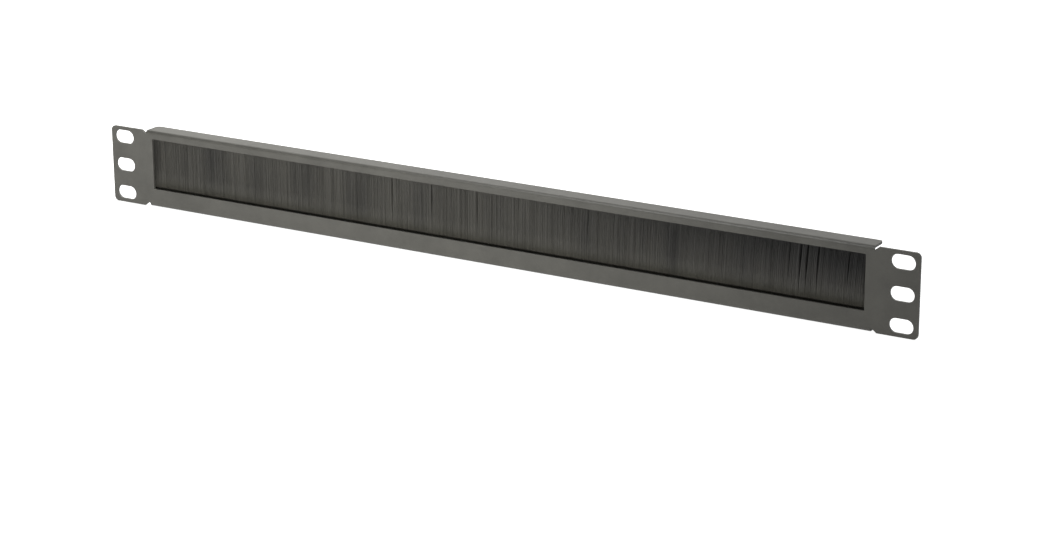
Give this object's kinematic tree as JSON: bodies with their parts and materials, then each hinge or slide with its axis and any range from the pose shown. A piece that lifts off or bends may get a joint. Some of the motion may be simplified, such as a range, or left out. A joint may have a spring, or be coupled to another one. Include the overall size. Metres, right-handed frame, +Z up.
{
  "type": "rack brush strip panel",
  "caption": "Folded steel panel for a 19 inch rack, with a long window closed by a black brush that lets cables through and keeps dust out.",
  "frame": {"origin": "middle of the mounting slot pattern, on the rear face of the ears, which meets the rack rails", "axes": "+X along the panel, +Y towards the rear of the rack, +Z up"},
  "size_m": [0.4826, 0.011, 0.043],
  "materials": {
    "black_powder_coat": "satin",
    "black_anodised_aluminium": "satin",
    "galvanised_steel": "dull",
    "steel_wire": "drawn",
    "black_nylon": "satin filaments",
    "blackened_rivet_steel": "satin"
  },
  "bodies": {
    "root": {"front_panel": "black_powder_coat", "brush_rail": "black_anodised_aluminium", "brush_channel": "galvanised_steel", "core_wire": "steel_wire", "bristles": "black_nylon", "rail_rivets": "blackened_rivet_steel"}
  },
  "joints": []
}
